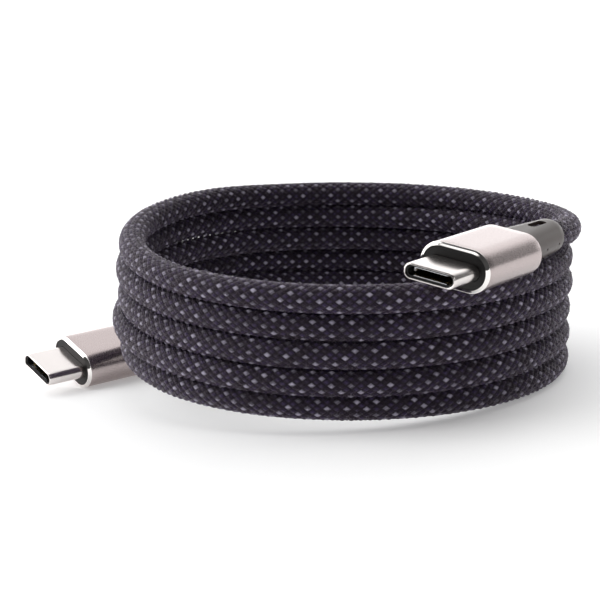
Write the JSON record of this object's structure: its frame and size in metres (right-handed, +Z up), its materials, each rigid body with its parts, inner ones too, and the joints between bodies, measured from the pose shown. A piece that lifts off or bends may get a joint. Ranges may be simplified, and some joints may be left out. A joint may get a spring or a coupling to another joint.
{
  "type": "charging cable",
  "caption": "Braided charging cable kept as a round upright coil, with a flat oval metal-sleeved plug and tapered strain relief at each end.",
  "frame": {"origin": "centre of the footprint of the coiled cable, on the surface it lies on", "axes": "+X along the longest extent of the coiled cable, +Y away from the plug ends, +Z up, out of the stack of turns"},
  "size_m": [0.092, 0.0832, 0.0287],
  "materials": {
    "braid": "tight braided yarn, dark charcoal with light grey dots",
    "sleeve_metal": "satin anodised, warm silver, polished bevel",
    "dark_face": "satin",
    "shell_metal": "bright nickel plated",
    "insulator": "black moulded plastic",
    "contact_gold": "gold plated",
    "spring_steel": "stamped sheet",
    "board": "green solder mask",
    "chip": "moulded",
    "capacitor": "ceramic",
    "red_wire": "insulated wire",
    "pale_wire": "insulated wire",
    "can_metal": "tinned sheet",
    "mould": "inner overmould",
    "crimp_metal": "crimped",
    "inner_jacket": "cord jacket under the braid",
    "relief_grey": "satin taupe-grey elastomer"
  },
  "bodies": {
    "cable": {"coil_front": "braid", "coil_rear": "braid", "top_turn_cord": "braid", "first_turn_cord": "braid", "low_sleeve": "sleeve_metal", "low_face": "dark_face", "low_shell": "shell_metal", "low_insulator": "insulator", "low_upper_contacts": "contact_gold", "low_lower_contacts": "contact_gold", "low_mid_plate": "spring_steel", "low_ground_springs": "spring_steel", "low_board": "board", "low_chip": "chip", "low_capacitors": "capacitor", "low_power_wires": "red_wire", "low_data_wires": "pale_wire", "low_shield_can": "can_metal", "low_inner_mould": "mould", "low_crimp_ring": "crimp_metal", "low_cord_end": "inner_jacket", "low_relief": "relief_grey", "top_sleeve": "sleeve_metal", "top_face": "dark_face", "top_shell": "shell_metal", "top_insulator": "insulator", "top_upper_contacts": "contact_gold", "top_lower_contacts": "contact_gold", "top_mid_plate": "spring_steel", "top_ground_springs": "spring_steel", "top_board": "board", "top_chip": "chip", "top_capacitors": "capacitor", "top_power_wires": "red_wire", "top_data_wires": "pale_wire", "top_shield_can": "can_metal", "top_inner_mould": "mould", "top_crimp_ring": "crimp_metal", "top_cord_end": "inner_jacket", "top_relief": "relief_grey"},
    "low_latch_right": {"low_latch_right": "spring_steel"},
    "low_latch_left": {"low_latch_left": "spring_steel"},
    "top_latch_right": {"top_latch_right": "spring_steel"},
    "top_latch_left": {"top_latch_left": "spring_steel"}
  },
  "joints": [
    {"name": "low_latch_right_flex", "type": "hinge", "parent": "cable", "child": "low_latch_right", "pos_m": [-0.03708, 0.00735, 0.00296], "axis": [0.2527, -0.2842, 0.9249], "range_deg": [0, 2], "stiffness_Nm_per_rad": 0.01},
    {"name": "low_latch_left_flex", "type": "hinge", "parent": "cable", "child": "low_latch_left", "pos_m": [-0.04088, 0.01177, 0.00535], "axis": [-0.2527, 0.2842, -0.9249], "range_deg": [0, 2], "stiffness_Nm_per_rad": 0.01},
    {"name": "top_latch_right_flex", "type": "hinge", "parent": "cable", "child": "top_latch_right", "pos_m": [0.02589, -0.03608, 0.02316], "axis": [0.1751, -0.0985, 0.9796], "range_deg": [0, 2], "stiffness_Nm_per_rad": 0.01},
    {"name": "top_latch_left_flex", "type": "hinge", "parent": "cable", "child": "top_latch_left", "pos_m": [0.02074, -0.03268, 0.02442], "axis": [-0.1751, 0.0985, -0.9796], "range_deg": [0, 2], "stiffness_Nm_per_rad": 0.01}
  ]
}
